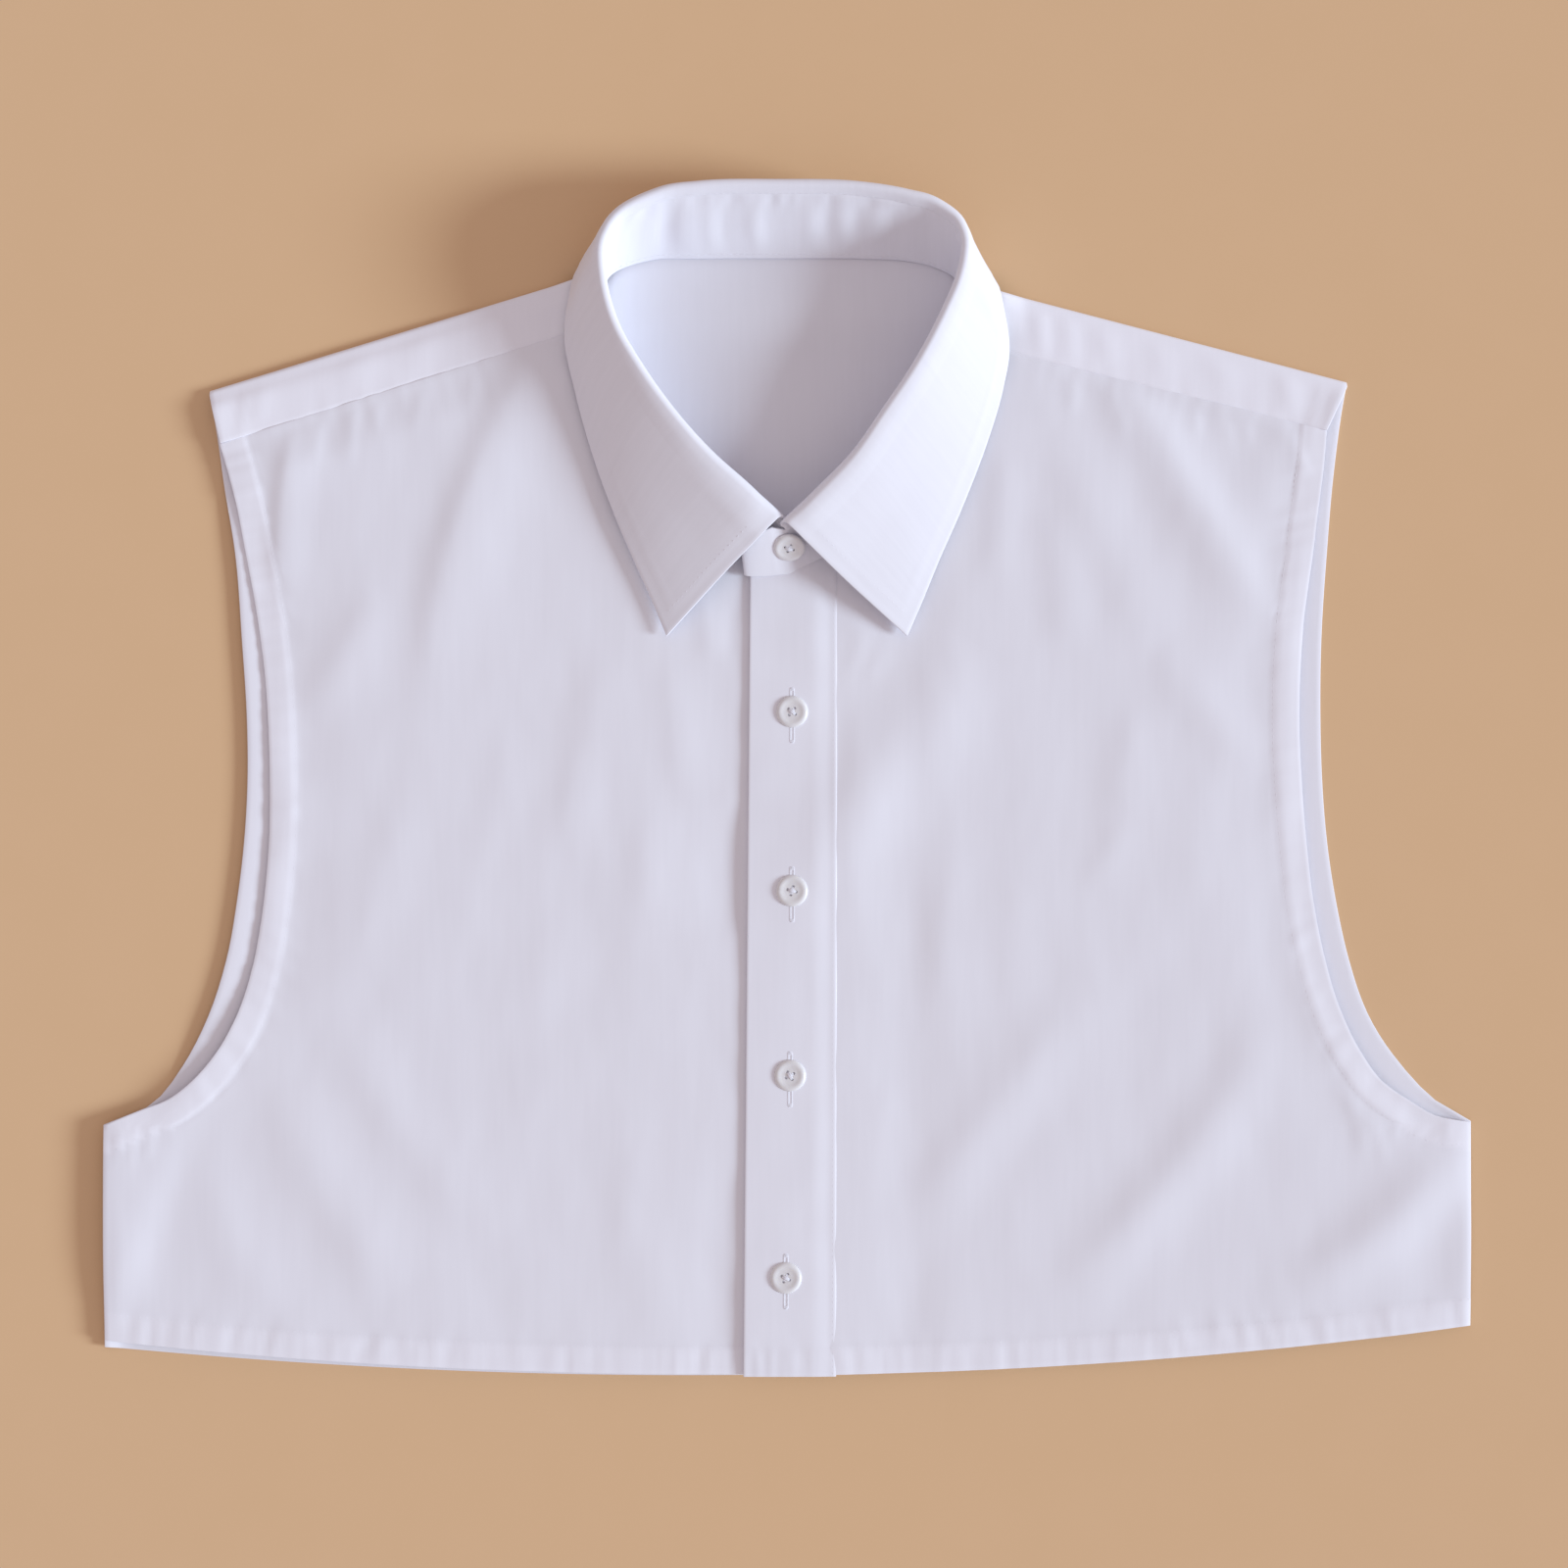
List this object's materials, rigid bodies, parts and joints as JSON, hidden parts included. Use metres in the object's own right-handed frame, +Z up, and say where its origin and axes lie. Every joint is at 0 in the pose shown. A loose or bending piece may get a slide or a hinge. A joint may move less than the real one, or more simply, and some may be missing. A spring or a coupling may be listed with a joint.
{
  "type": "false shirt front with turned-down collar",
  "caption": "Sleeveless cropped false shirt front with a turned-down pointed collar on a stand, a buttoned placket and deep armholes, laid flat face up.",
  "frame": {"origin": "middle of the bounding box in plan, on the surface the garment lies on", "axes": "+Z up, out of the face of the garment as it lies; +Y from the hem towards the back of the collar; +X towards the wearer's left side"},
  "size_m": [0.4876, 0.4242, 0.0258],
  "materials": {
    "white_poplin": "matte fine plain weave",
    "white_poplin_interlined": "matte fine plain weave, smooth over its interlining",
    "pearl_resin": "soft pearly gloss"
  },
  "bodies": {
    "root": {"back": "white_poplin", "front_right": "white_poplin", "front_left": "white_poplin", "placket": "white_poplin", "collar_stand": "white_poplin_interlined", "collar_leaf": "white_poplin_interlined", "button_collar": "pearl_resin", "button_1": "pearl_resin", "button_2": "pearl_resin", "button_3": "pearl_resin", "button_4": "pearl_resin"}
  },
  "joints": []
}
